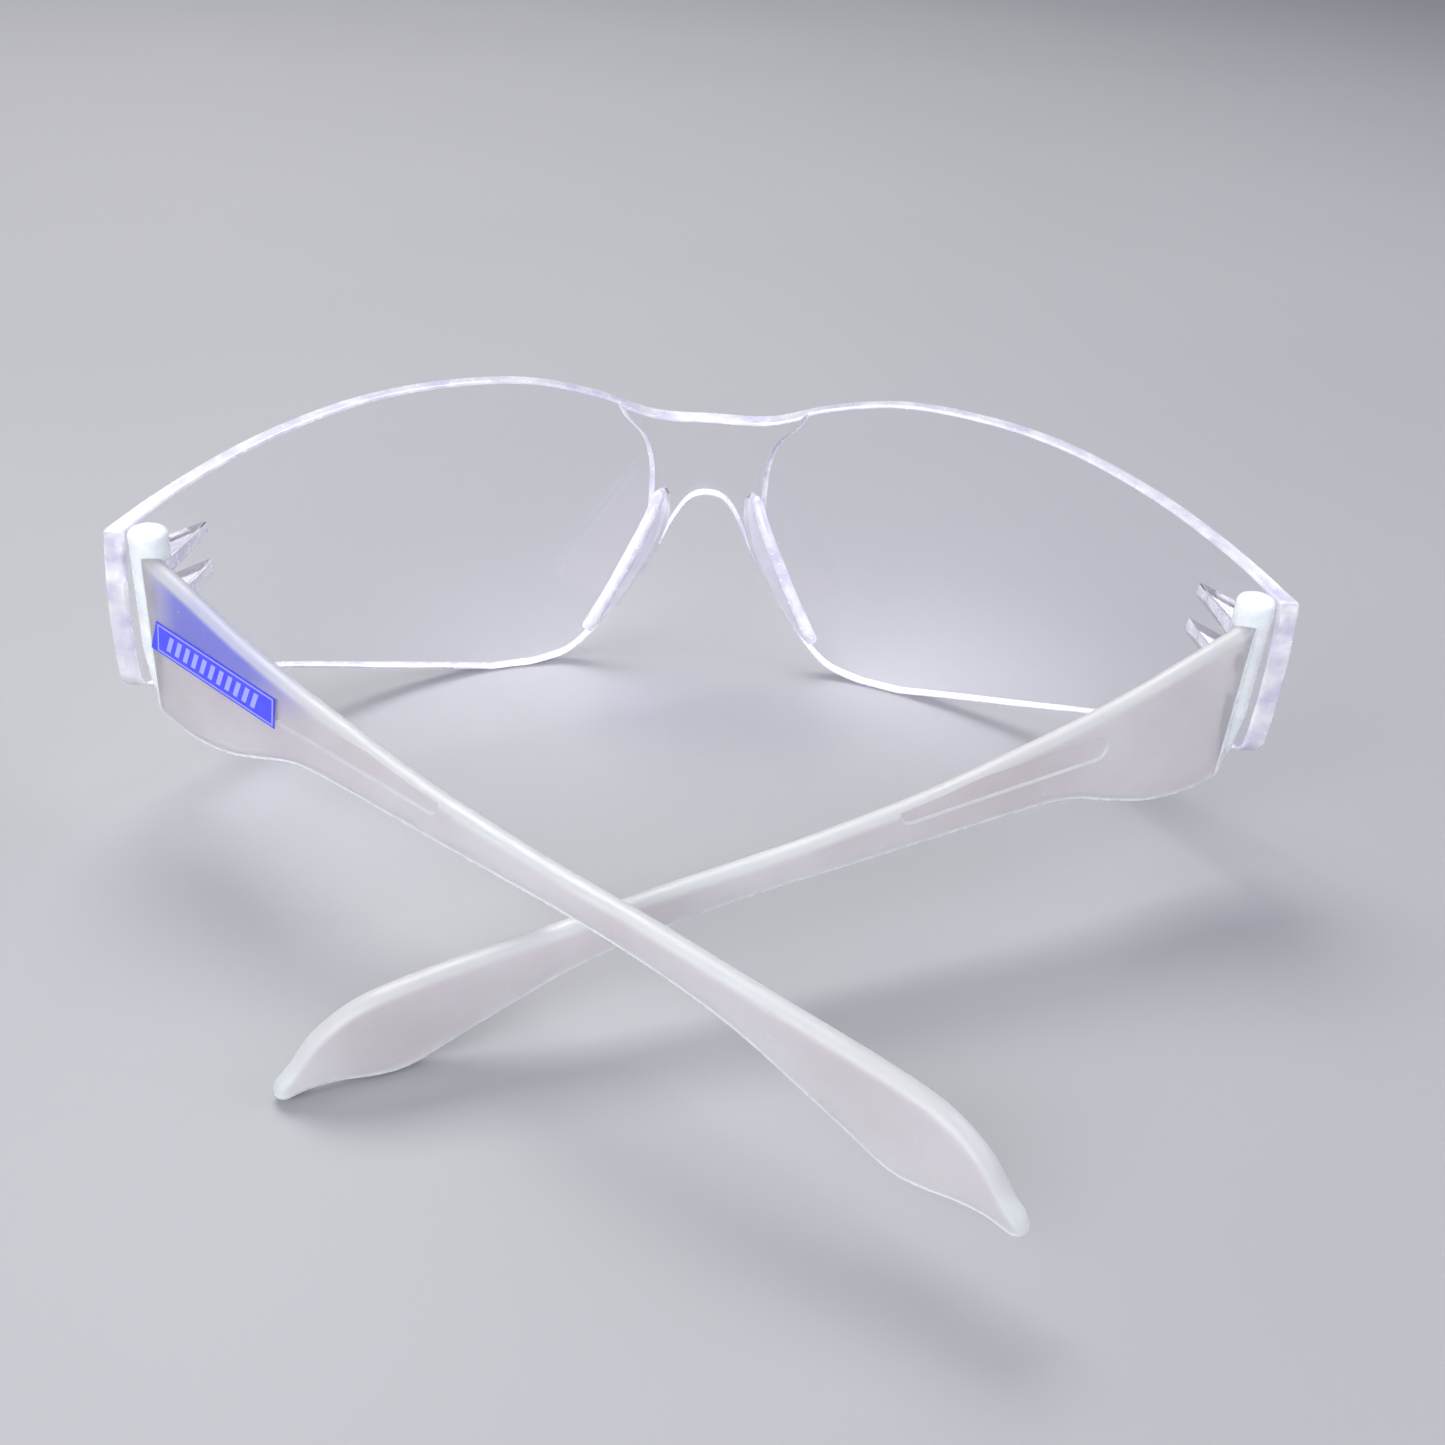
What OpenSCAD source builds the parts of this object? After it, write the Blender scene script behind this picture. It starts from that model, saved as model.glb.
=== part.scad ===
// Frameless wraparound safety glasses, lying on a table with the arms crossed and half folded.
// +X is the wearer's right, +Y is where the wearer looks, +Z is up, and Z = 0 is the table.

/* [Lens] */
// Width from outer corner to outer corner
lens_w = 140; // [136:0.5:144]
// Radius of the lens's front as seen from above
lens_r = 78.4; // [77:0.1:80]
// Radius of the lens's front from top to bottom
bow_r = 120; // [100:5:150]
// Thickness of the lens
lens_t = 2.2; // [1.8:0.1:2.4]
// Thickness of the bridge between the lobes
bridge_t = 3.1; // [2.6:0.1:3.6]
// Thickness of a nose flange
flange_t = 1.7; // [1.3:0.1:2.2]

/* [Hinge] */
// Clearance between the hinge axis and the lens's inner face
axis_gap = 3.4; // [3.3:0.1:3.8]
// Angle of the hinge axis around the lens's centre of curvature, from straight ahead
axis_angle = 61; // [60.5:0.1:61.5]
// Thickness of a hinge lug
lug_t = 2.3; // [1.8:0.1:2.5]
// Radius of a lug's ear around the pin
ear_r = 1.6; // [1.4:0.05:1.6]
// Radius of the hinge pin
pin_r = 0.7; // [0.5:0.05:0.8]
// Running clearance around the pin in the lugs
pin_play = 0.05; // [0.02:0.01:0.1]

/* [Arms] */
// Thickness of an arm
arm_t = 2.6; // [2.2:0.1:2.6]
// Outward lean of an arm's lower edge, in degrees
arm_lean = 2.2; // [0:0.1:2.5]
// How far the left arm is folded from fully open, in degrees
left_fold = 53.5; // [0:0.5:78]
// How far the left arm droops at its hinge, in degrees
left_droop = 0; // [0:0.1:1]
// How far the right arm is folded from fully open, in degrees
right_fold = 64.5; // [0:0.5:94]
// How far the right arm droops at its hinge, in degrees
right_droop = 4.35; // [4:0.05:4.35]

/* [Print] */
// Length of the coloured band on the left arm
print_len = 20.3; // [15:0.1:21]
// Height of the coloured band
print_h = 4; // [3:0.1:4.5]
// Thickness of the coloured film
print_t = 0.1; // [0.05:0.05:0.2]

/* [Hidden] */

round_fn = 96;
sweep_fn = 240;
over = 1;                  // how far a cutting tool passes a face
clear_h = 50;              // taller than any part

// Places along Y: the lens's front leads the origin, which is the middle of the whole outline
front_y = 58.25;
centre_y = front_y - lens_r;
bow_z = 22;                // the height at which the lens bows furthest forward

// Half of the lens outline as (x, z) points
top_points = [[0, 37.5], [8, 37.8], [16, 40.6], [25, 42.8], [35, 43.3], [45, 42.7], [55, 40.6], [63, 37.9],
              [72, 34]];
nose_points = [[0, 26], [2.3, 25.3], [4.3, 22.6], [6.2, 18.4], [8.3, 14.5], [10.7, 10.8], [13.4, 7.3], [16.2, 3.9],
               [19.6, 1.2], [24.5, 0]];
cheek_points = [[30, 0], [38, 1.7], [47, 4.3], [57, 8.4], [72, 15.1]];
bridge_points = [[15, 44], [12.3, 38], [9.4, 34.8], [8.1, 31.2], [7.8, 27], [7.9, 22]];

// A nose flange: its lowest free corner behind the lens's front, how it is turned, and its outline seen flat
flange_low = [14.8, -14.2, 11.7];
flange_turn = 22.7;
flange_lean = 20.4;
flange_edge = [[0.6, -0.9], [0, 0.2], [1.9, 4.8], [4.2, 9.6], [6.2, 14], [7.7, 17.3], [8.7, 17.8]];
flange_root = [[15.8, 14.6], [15.4, 11.3], [13.9, 3.2], [12.1, -2.7]];

// A hinge lug's fin seen from above, from the pin: its free tip, and where its edges meet the lens
lug_tip = [-2.9, 7.2];
lug_root = [-3.6, 14];
lug_sink = 0.3;            // how far a lug sinks past the middle of the lens's wall

// Heights in the hinge
knob_top = 35.9;
barrel_low = 20.5;         // the barrel is straight down to here
foot_low = 14.9;           // and tapers to its foot here
foot_r = 1.6;
lug_tops = [32.1, 26.8];
lug_gap = 0.3;
barrel_r = 2.25;
barrel_out = 0.35;         // the barrel's centre is this far outside the pin
swing_r = 2.75;            // the front of an arm stays inside this circle around the pin
swing_reach = 12;          // how far in front of the pin an arm's outline could reach
ridge_back = 1;            // the outer face of an arm starts this far behind the pin
arm_out = 2.6;             // the outer face of an arm is this far outside the pin
skin_in = 1.9;             // what is left of an arm beside a lug starts this far outside the pin
lug_reach = 2.3;           // how far behind the pin the lug slots reach
barrel_reach = 8;          // further from the pin than the barrel reaches, in front and inboard
pin_low = 21;
pin_len = 13.8;

// Outline of an arm in its own plane, as (distance behind the pin, height) points
arm_top = [[-3.2, 33.9], [0, 33.6], [8, 31.1], [16, 28.5], [24, 26.4], [33, 24.6], [45, 22.5], [60, 21.1],
           [75, 20.5], [90, 19.6], [103, 18.8], [109, 17.8], [113.5, 15.4], [116.6, 11.8], [118.4, 9.4]];
arm_low = [[118, 8.9], [115, 9.6], [111.5, 9.3], [108, 8.5], [104.5, 8.6], [97, 11.2], [85, 14.8], [70, 16.5],
           [50, 16.7], [33, 16.9], [26, 16.5], [20, 14.5], [14, 12.7], [8, 12.4], [3, 13.5], [0, 14.9],
           [-3.2, 16.4]];
panel_start = 21;
panel_end = 48.4;
panel_h = 3;
panel_z = [22.6, 21.6];    // height of the recessed panel's middle at its two ends
panel_deep = 0.2;

print_start = 3.2;
print_z = 24.1;            // height of the band's middle at its front end
print_tilt = 5.5;
print_slant = 1;           // how far the front end slants forward at the bottom

axis_r = lens_r - lens_t - axis_gap;
hinge_x = axis_r * sin(axis_angle);
hinge_y = centre_y + axis_r * cos(axis_angle);
end_y = centre_y + sqrt(lens_r * lens_r - lens_w * lens_w / 4);

// Smooth curve through points, with equal steps between neighbours
function blend(a, b, c, d, t) =
  (2 * b + (c - a) * t + (2 * a - 5 * b + 4 * c - d) * t * t + (3 * b - a - 3 * c + d) * t * t * t) / 2;
function curve_at(p, i, t) = blend(p[max(i - 1, 0)], p[i], p[i + 1], p[min(i + 2, len(p) - 1)], t);
function curve(p, steps = 3) = [
  for (i = [0 : len(p) - 2]) for (k = [0 : steps - 1]) curve_at(p, i, k / steps),
  p[len(p) - 1]
];
function mirrored(p) = [for (i = [len(p) - 1 : -1 : 0]) [-p[i].x, p[i].y]];
function both_sides(p) = concat(mirrored(p), [for (i = [1 : len(p) - 1]) p[i]]);

function reversed(p) = [for (i = [len(p) - 1 : -1 : 0]) p[i]];

module upright(outline_depth) {
  // An (x, z) outline pushed through the lens from front to back
  translate([0, front_y + over, 0])
    rotate([90, 0, 0])
      linear_extrude(outline_depth) children();
}

module bowed_shell(from, to) {
  // A band of the lens's double curve, between two depths behind its front
  translate([0, centre_y, 0])
    rotate_extrude($fn = sweep_fn)
      intersection() {
        difference() {
          translate([lens_r - bow_r - from, bow_z]) circle(bow_r, $fn = sweep_fn);
          translate([lens_r - bow_r - to, bow_z]) circle(bow_r, $fn = sweep_fn);
        }
        translate([lens_r / 2, -over]) square([lens_r, clear_h]);
      }
}

module lens_outline() {
  steps = 4;
  polygon(concat(
    curve(both_sides(top_points), steps),
    reversed(curve(cheek_points, steps)),
    reversed(curve(both_sides(nose_points), steps)),
    mirrored(reversed(curve(cheek_points, steps)))
  ));
}

module bridge_outline() {
  edge = curve(bridge_points);
  polygon(concat(edge, mirrored(edge)));
}

module before_ends() {
  // The lens stops at one upright plane, so that both of its end faces look straight back
  translate([-lens_r, end_y, -over]) cube([2 * lens_r, lens_r, clear_h + over]);
}

module nose_flange() {
  translate([0, front_y, 0] + flange_low)
    rotate([0, 0, flange_turn])
      rotate([0, -flange_lean, 0])
        rotate([90, 0, 90])
          linear_extrude(flange_t) polygon(concat(curve(flange_edge), flange_root));
}

module lug() {
  difference() {
    union() {
      cylinder(h = lug_t, r = ear_r, $fn = round_fn);
      intersection() {
        linear_extrude(lug_t)
          polygon([[-ear_r, 0], lug_tip, lug_root, [ear_r, lug_root.y], [ear_r, 0]]);
        translate([-hinge_x, centre_y - hinge_y, 0])
          cylinder(h = lug_t, r = lens_r - lens_t / 2 - lug_sink, $fn = sweep_fn);
      }
    }
    translate([0, 0, -over]) cylinder(h = lug_t + 2 * over, r = pin_r + pin_play, $fn = round_fn);
  }
}

module lens() {
  color([0.93, 0.92, 0.98, 0.45]) {
    intersection() {
      union() {
        bowed_shell(0, lens_t);
        intersection() {
          bowed_shell(lens_t / 2, bridge_t);
          upright(lens_r / 2) bridge_outline();
        }
      }
      upright(lens_r + over) lens_outline();
      before_ends();
    }
    for (side = [0, 1]) mirror([side, 0, 0]) {
      nose_flange();
      for (z = lug_tops) translate([hinge_x, hinge_y, z - lug_t]) lug();
    }
  }
}

// An arm in its own plane, then stood on edge beside the pin
module arm_outline() {
  polygon(concat(curve(arm_top), curve(arm_low)));
}

module edgewise(thick) {
  // An outline of (distance behind the pin, height) points, pushed outward from the plane through the pin
  rotate([90, 0, -90]) mirror([0, 0, 1]) linear_extrude(thick) children();
}

module blade() {
  difference() {
    translate([arm_out - arm_t, 0, 0]) edgewise(arm_t) arm_outline();
    translate([arm_out - panel_deep, 0, 0]) edgewise(over) recess_outline();
  }
}

module recess_outline() {
  r = panel_h / 2;
  run = panel_end - panel_start - panel_h;
  translate([panel_start + r, panel_z[0]])
    rotate(atan2(panel_z[1] - panel_z[0], run)) {
      circle(r, $fn = round_fn);
      translate([run, 0]) circle(r, $fn = round_fn);
      translate([0, -r]) square([run, panel_h]);
    }
}

module at_droop(droop) {
  // The blade hangs from the top of its barrel
  translate([0, 0, knob_top])
    rotate([droop, 0, 0])
      rotate([0, -arm_lean, 0])
        translate([0, 0, -knob_top]) children();
}

module swing_room() {
  // Room for the lens in front of the pin, as the arm swings
  difference() {
    translate([-swing_reach, 0, 0]) cube([2 * swing_reach, swing_reach, clear_h]);
    translate([0, 0, -over]) cylinder(h = clear_h + 2 * over, r = swing_r, $fn = round_fn);
  }
}

module front_slope() {
  // The blade's front end slants from its inner face back to a ridge on its outer face
  inner = [0, swing_r];
  ridge = [arm_out, -ridge_back];
  linear_extrude(clear_h)
    polygon([inner, inner + 2 * (ridge - inner), [swing_reach, swing_reach], [0, swing_reach]]);
}

module barrel() {
  rotate_extrude($fn = round_fn)
    polygon([[0, foot_low], [foot_r, foot_low], [barrel_r, barrel_low], [barrel_r, knob_top], [0, knob_top]]);
}

module temple(droop) {
  difference() {
    union() {
      difference() {
        at_droop(droop) blade();
        swing_room();
        front_slope();
      }
      translate([barrel_out, 0, 0]) barrel();
    }
    for (z = lug_tops)
      translate([-barrel_reach, -lug_reach, z - lug_t - lug_gap])
        cube([barrel_reach + skin_in, lug_reach + barrel_reach, lug_t + 2 * lug_gap]);
    translate([0, 0, foot_low - over])
      cylinder(h = pin_low + pin_len - foot_low + over, r = pin_r, $fn = round_fn);
  }
}

module at_hinge(fold) {
  translate([hinge_x, hinge_y, 0]) rotate([0, 0, -fold]) children();
}

module right_temple() {
  color([0.88, 0.86, 0.9, 0.8]) at_hinge(right_fold) temple(right_droop);
}

module left_temple() {
  color([0.86, 0.88, 0.95, 0.8]) mirror([1, 0, 0]) at_hinge(left_fold) temple(left_droop);
}

module pin() {
  translate([0, 0, pin_low]) cylinder(h = pin_len, r = pin_r, $fn = round_fn);
}

module right_hinge_pin() {
  color([0.9, 0.9, 0.92]) at_hinge(right_fold) pin();
}

module left_hinge_pin() {
  color([0.9, 0.9, 0.92]) mirror([1, 0, 0]) at_hinge(left_fold) pin();
}

module left_print_band() {
  color([0.29, 0.31, 0.94])
    mirror([1, 0, 0])
      at_hinge(left_fold)
        at_droop(left_droop)
          translate([arm_out, 0, 0])
            edgewise(print_t)
              translate([print_start, print_z])
                rotate(-print_tilt)
                  polygon([[0, print_h / 2], [print_len, print_h / 2], [print_len, -print_h / 2],
                           [-print_slant, -print_h / 2]]);
}

lens();
left_temple();
right_temple();
left_hinge_pin();
right_hinge_pin();
left_print_band();
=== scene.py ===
"""Clear wraparound safety glasses with frosted arms, lying crossed and half folded on a pale floor.

Shapes are worked out in millimetres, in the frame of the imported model, and turned into metres when a mesh is
made.
"""

import math

import bmesh
import bpy
from mathutils import Matrix, Vector


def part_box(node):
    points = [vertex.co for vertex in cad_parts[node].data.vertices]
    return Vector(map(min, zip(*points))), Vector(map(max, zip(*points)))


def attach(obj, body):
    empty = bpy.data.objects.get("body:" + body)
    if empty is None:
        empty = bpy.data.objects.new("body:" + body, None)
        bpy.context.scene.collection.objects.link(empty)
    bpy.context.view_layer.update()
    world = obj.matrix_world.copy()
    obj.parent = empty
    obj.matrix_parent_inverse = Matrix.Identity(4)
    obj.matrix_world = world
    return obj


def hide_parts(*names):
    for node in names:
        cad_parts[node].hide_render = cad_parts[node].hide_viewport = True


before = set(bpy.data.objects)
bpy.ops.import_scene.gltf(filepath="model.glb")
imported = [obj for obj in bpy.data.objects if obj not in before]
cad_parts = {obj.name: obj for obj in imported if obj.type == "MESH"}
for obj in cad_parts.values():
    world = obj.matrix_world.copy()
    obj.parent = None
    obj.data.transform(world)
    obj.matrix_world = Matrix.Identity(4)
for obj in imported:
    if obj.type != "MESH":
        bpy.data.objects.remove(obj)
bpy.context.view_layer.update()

MM = 0.001


# ---------------------------------------------------------------- sizes, in millimetres

LENS_R = 78.4            # the lens's front as seen from above
BOW_R = 120.0            # the lens's front from top to bottom
BOW_Z = 22.0             # height at which the lens bows furthest forward
LENS_T = 2.2
BRIDGE_T = 3.1           # the lens is this thick within the bridge pad
EDGE_R = 0.35            # rounding of the moulded edge
END_BLEND = 8.0          # stretch of the lens over which its grid turns to meet the flat end
LOW_CORNER_R = 1.8       # rounding of the lens's lower outer corners
TOP_CORNER_R = 0.4       # rounding of the lens's upper outer corners
PAD_STEP = 0.2           # half the width of the slope from the bridge pad down to a lobe
PAD_FADE = (16.0, 23.0)  # heights between which the bridge pad rises to its full thickness
PAD_COLUMN = 8.0         # the column of the lens's grid that follows the edge of the bridge pad
OUTER_COLUMN = 30.0      # columns from here to the ends stand upright

# Half outlines of the lens and of its bridge pad, as (x, z) points.
TOP_POINTS = [(0, 37.5), (8, 37.8), (16, 40.6), (25, 42.8), (35, 43.3), (45, 42.7), (55, 40.6), (63, 37.9),
              (72, 34)]
NOSE_POINTS = [(0, 26), (2.3, 25.3), (4.3, 22.6), (6.2, 18.4), (8.3, 14.5), (10.7, 10.8), (13.4, 7.3),
               (16.2, 3.9), (19.6, 1.2), (24.5, 0)]
CHEEK_POINTS = [(30, 0), (38, 1.7), (47, 4.3), (57, 8.4), (72, 15.1)]
PAD_POINTS = [(15, 44), (12.3, 38), (9.4, 34.8), (8.1, 31.2), (7.8, 27), (7.9, 22), (7.9, 10)]

# The nose flanges: where a flange meets the lens, as (x, z), and its free edge, as (x, distance behind the
# lens's foremost point, z).
FLANGE_T = 1.7
FLANGE_ROOT = [(5.7, 25.6), (5.6, 22), (6.9, 18.3), (8.9, 14.6), (11.2, 10.9), (12.6, 8.8)]
FLANGE_FREE = [(6.9, 8.2, 28.0), (8.2, 10.3, 25.0), (10.2, 11.6, 20.8), (12.3, 13.0, 16.6),
               (14.6, 14.3, 12.4), (15.9, 14.2, 9.9)]

AXIS_GAP = 3.4           # from the back of the lens to the middle of the hinge pin
AXIS_ANGLE = math.radians(61)   # how far round the lens's curve the pin stands
LUG_T = 2.3
LUG_TOPS = (32.1, 26.8)
LUG_GAP = 0.3            # room in the arm above and below a lug
LUG_ROOT = 1.4           # a lug starts this far inside the lens's front
LUG_EDGE = 0.22          # rounding of a lug's edges
EAR_R = 1.6
LUG_TIP = (-2.9, 7.2)    # (x, y) from the pin
LUG_TIP_T = 1.2          # a lug thins to this at its free tip

KNOB_TOP = 35.9
KNOB_DOME = 0.12         # the knob's top falls by about this much towards its rim
BARREL_LOW = 20.5        # the barrel is straight down to here, and tapers from here to its foot
FOOT_LOW = 14.9
FOOT_R = 1.6
FOOT_ROUND = 0.3
BARREL_R = 2.25
BARREL_OUT = 0.35        # the barrel's middle lies this far outside the pin
KNOB_ROUND = 0.7
SWING_R = 2.72           # the front of an arm stays inside this circle around the pin
RIDGE_BACK = 1.05        # the outer face of an arm starts this far behind the pin
SKIN_IN = 1.9            # the lug slots are cut in from the inside up to here
LUG_REACH = 2.3          # and this far behind the pin
PIN_R = 0.7
BORE_GAP = 0.03
BORE_ROOF = 1.1          # plastic left above the pin's bore
CUT = 8.0                # the tools that cut the slots reach this far from the pin, clear of the arm

ARM_T = 2.6
ARM_LEAN = math.radians(2.2)
# Outlines of an arm, as (distance behind the pin, height) points.
ARM_TOP = [(-3.2, 33.9), (0, 33.6), (8, 31.1), (16, 28.5), (24, 26.4), (33, 24.6), (45, 22.5), (60, 21.1),
           (75, 20.5), (90, 19.6), (103, 18.8), (109, 17.8), (113.5, 15.4), (116.6, 12), (118.4, 10.6)]
ARM_LOW = [(-3.2, 16.4), (0, 14.9), (3, 13.5), (8, 12.4), (14, 12.7), (20, 14.5), (26, 16.5), (33, 16.9),
           (50, 16.7), (70, 16.5), (85, 14.8), (97, 11.2), (104.5, 8.6), (108, 8.5), (111.5, 9.3), (115, 9.6),
           (118.4, 8.9)]
ARM_END = ARM_TOP[-1][0]
TOP_ROUND = 1.15
LOW_ROUND = 0.6
TIP_ROUND = 1.3
TIP_SHARE = 0.15         # the rounded tip shrinks to this share of the arm's section
FRONT_ROUND = 0.3
FRONT_LENGTH = 6.0       # the sections turn from slanted to upright over this stretch behind the pin
RECESS = (21.0, 48.4)    # where the slot in an arm's outer face starts and ends behind the pin
RECESS_H = 3.0
RECESS_Z = (22.6, 21.6)  # heights of its middle line at either end
RECESS_DEEP = 0.3

LEFT_FOLD = math.radians(53.5)
RIGHT_FOLD = math.radians(64.5)
RIGHT_DROOP = math.radians(4.35)

PRINT_START = 3.2        # the print starts about here behind the pin, with its middle line at this height
PRINT_Z = 24.1
PRINT_TILT = math.radians(5.5)
PRINT_LEN = 20.3
PRINT_H = 4.0
PRINT_SLANT = 1.0        # the front end of the print leans by this much
PRINT_T = 0.1
PRINT_LINE = (0.22, 0.42)   # the pale outline runs between these distances from the print's edge
BAR_COUNT = 14           # slanted bars that would fill the print's length
BAR_LEAN = 0.9           # how far a bar leans over the print's height, counted in bars
BAR_HALF_H = 0.27        # half a bar's height, as a share of the print's height
BAR_MIDDLE = 6.25        # the row's middle and half its length, counted in bars
BAR_HALF_ROW = 5.35

# The painted blue glow round the print, painted light standing in for blue light from the print scattered in
# the plastic, fades in and out between these distances behind the pin and heights.
HALO_IN = (2.0, 7.0)
HALO_OUT = (19.0, 30.0)
HALO_UP = (21.5, 25.5)
HALO_SHARE = 0.8

END_ANGLE = math.asin(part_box("lens")[1].x / MM / LENS_R)


def sag(z):
    """How far the lens's front falls back from its furthest point at height z."""
    return BOW_R - math.sqrt(BOW_R**2 - (z - BOW_Z) ** 2)


CENTRE_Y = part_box("lens")[1].y / MM + sag(NOSE_POINTS[0][1]) - LENS_R
AXIS_R = LENS_R - LENS_T - AXIS_GAP
HINGE = Vector((AXIS_R * math.sin(AXIS_ANGLE), CENTRE_Y + AXIS_R * math.cos(AXIS_ANGLE), 0))


# ---------------------------------------------------------------- curves

def spline(points, t):
    """A smooth curve through points, at t counted in points from the first."""
    i = min(int(t), len(points) - 2)
    u = t - i
    a, b, c, d = (Vector(points[min(max(k, 0), len(points) - 1)]) for k in (i - 1, i, i + 1, i + 2))
    return (2 * b + (c - a) * u + (2 * a - 5 * b + 4 * c - d) * u**2 + (3 * b - a - 3 * c + d) * u**3) / 2


def sampled(points, steps=12):
    """The smooth curve through points, as closely spaced points."""
    return [spline(points, k / steps) for k in range((len(points) - 1) * steps + 1)]


def reader(*curves, along=0):
    """A function from one coordinate to the other, on the smooth curves through lists of (x, z) points. It
    reads from x to z, or from z to x when along is 1."""
    found = [(p[along], p[1 - along]) for points in curves for p in sampled(points)]
    line = sorted(found, key=lambda p: p[0])

    def read(x):
        x = min(max(x, line[0][0]), line[-1][0])
        for (x0, z0), (x1, z1) in zip(line, line[1:]):
            if x <= x1:
                return z0 + (z1 - z0) * (x - x0) / max(x1 - x0, 1e-9)
        return line[-1][1]

    return read


def level_at_middle(points):
    """Half an outline with the next point of its other half in front, so that it crosses the middle level."""
    x, z = points[1]
    return [(-x, z)] + points


def smoothstep(low, high, x):
    """0 below low and 1 above high, with a smooth rise between them."""
    t = min(max((x - low) / (high - low), 0), 1)
    return t * t * (3 - 2 * t)


def spaced(start, end, step):
    """Even values from start to end, about step apart."""
    count = max(1, round((end - start) / step))
    return [start + (end - start) * k / count for k in range(count + 1)]


# ---------------------------------------------------------------- meshes

def make_piece(name, points, faces, materials, face_materials=None):
    """A closed mesh object from points in millimetres."""
    mesh = bpy.data.meshes.new(name)
    mesh.from_pydata([Vector(p) * MM for p in points], [], faces)
    for material in materials:
        mesh.materials.append(material)
    if face_materials:
        mesh.polygons.foreach_set("material_index", face_materials)
    made = bpy.data.objects.new(name, mesh)
    bpy.context.scene.collection.objects.link(made)
    outward(mesh)
    return made


def outward(mesh):
    """Turns every face's normal to the outside."""
    b = bmesh.new()
    b.from_mesh(mesh)
    bmesh.ops.remove_doubles(b, verts=b.verts, dist=1e-7)
    bmesh.ops.recalc_face_normals(b, faces=b.faces)
    b.to_mesh(mesh)
    b.free()


def combined(piece, tools, operation):
    """Unites the tools with piece, or cuts them out of it, and removes them."""
    for tool in tools:
        modifier = piece.modifiers.new("combine", "BOOLEAN")
        modifier.operation = operation
        modifier.solver = "EXACT"
        modifier.object = tool
    bpy.context.view_layer.update()
    depsgraph = bpy.context.evaluated_depsgraph_get()
    mesh = bpy.data.meshes.new_from_object(piece.evaluated_get(depsgraph))
    piece.modifiers.clear()
    piece.data = mesh
    for tool in tools:
        bpy.data.objects.remove(tool)
    return piece


def softened(piece, angle=35):
    """Smooth shading with flat faces kept flat and corners kept crisp."""
    piece.data.shade_smooth()
    piece.data.set_sharp_from_angle(angle=math.radians(angle))
    weighted = piece.modifiers.new("flat_faces", "WEIGHTED_NORMAL")
    weighted.keep_sharp = True
    return piece


def bridged(rings):
    """Faces that join neighbouring rings of equal length, as index lists."""
    faces = []
    size = len(rings[0])
    for a, b in zip(rings, rings[1:]):
        for k in range(size):
            n = (k + 1) % size
            faces.append((a[k], a[n], b[n], b[k]))
    return faces


def loft(name, rings, materials, rim_steps=None):
    """A solid through rings of points, closed by a face at each end. rim_steps says which steps round a ring
    take the second material. Where it is given, the end faces take it too."""
    size = len(rings[0])
    points = [p for ring in rings for p in ring]
    index = [[r * size + k for k in range(size)] for r in range(len(rings))]
    faces = bridged(index) + [tuple(reversed(index[0])), tuple(index[-1])]
    first, second = 0, 1
    chosen = [second if rim_steps and rim_steps[k % size] else first for k in range(size * (len(rings) - 1))]
    chosen += [second if rim_steps else first] * 2
    return make_piece(name, points, faces, materials, chosen)


def prism(name, outline, low, high):
    """An (x, y) outline between two heights."""
    return loft(name, [[(x, y, z) for x, y in outline] for z in (low, high)], [])


def arc(centre, radius, start, end, steps):
    """Points on an arc, with angles in degrees."""
    angles = [math.radians(start + (end - start) * k / steps) for k in range(steps + 1)]
    return [(centre[0] + radius * math.cos(a), centre[1] + radius * math.sin(a)) for a in angles]


# ---------------------------------------------------------------- the lens

top_z = reader(level_at_middle(TOP_POINTS))
low_z = reader(level_at_middle(NOSE_POINTS), CHEEK_POINTS)
pad_x = reader(PAD_POINTS, along=1)

END_S = LENS_R * END_ANGLE
# The second of the lens's materials is a painted glow: a whiter, less clear copy of the clear plastic, painted
# light for the edges and the bridge pad's step.
CLEAR, PAINTED_GLOW, MILKY = range(3)   # the lens's materials


def on_lens(s, z, depth):
    """The point at arc length s from the middle and height z, at a depth behind the lens's front. Near the
    ends the deeper points shift so that the end face is flat and looks straight back."""
    r = LENS_R - sag(z) - depth
    last = math.acos(LENS_R * math.cos(END_ANGLE) / r)
    near_end = smoothstep(END_S - END_BLEND, END_S, abs(s))
    angle = s / LENS_R - math.copysign((END_ANGLE - last) * near_end, s)
    return Vector((r * math.sin(angle), CENTRE_Y + r * math.cos(angle), z))


def edge_height(s, read, inwards):
    """Height of the outline at arc length s, with the outer corners rounded off. inwards is 1 for the lower
    edge and -1 for the upper one."""
    z = BOW_Z
    for _ in range(4):   # the bow ties x to the height, so the two are found in turns
        x = (LENS_R - sag(z)) * math.sin(abs(s) / LENS_R)
        z = read(x)
    left = END_S - abs(s)
    radius = LOW_CORNER_R if inwards > 0 else TOP_CORNER_R
    if left < radius:
        z += inwards * (radius - math.sqrt(max(radius**2 - (radius - left) ** 2, 0)))
    return z


def wall(s, z):
    """Thickness of the lens, which is greater within the bridge pad."""
    inside = smoothstep(-PAD_STEP, PAD_STEP, pad_x(z) - abs(s))
    return LENS_T + (BRIDGE_T - LENS_T) * inside * smoothstep(*PAD_FADE, z)


def column_at(c, z):
    """Arc length of column c at height z: columns near the middle follow the edge of the bridge pad."""
    edge = pad_x(z)
    if abs(c) <= PAD_COLUMN:
        return c / PAD_COLUMN * edge
    if abs(c) >= OUTER_COLUMN:
        return c
    share = (abs(c) - PAD_COLUMN) / (OUTER_COLUMN - PAD_COLUMN)
    return math.copysign(edge + share * (OUTER_COLUMN - edge), c)


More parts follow.
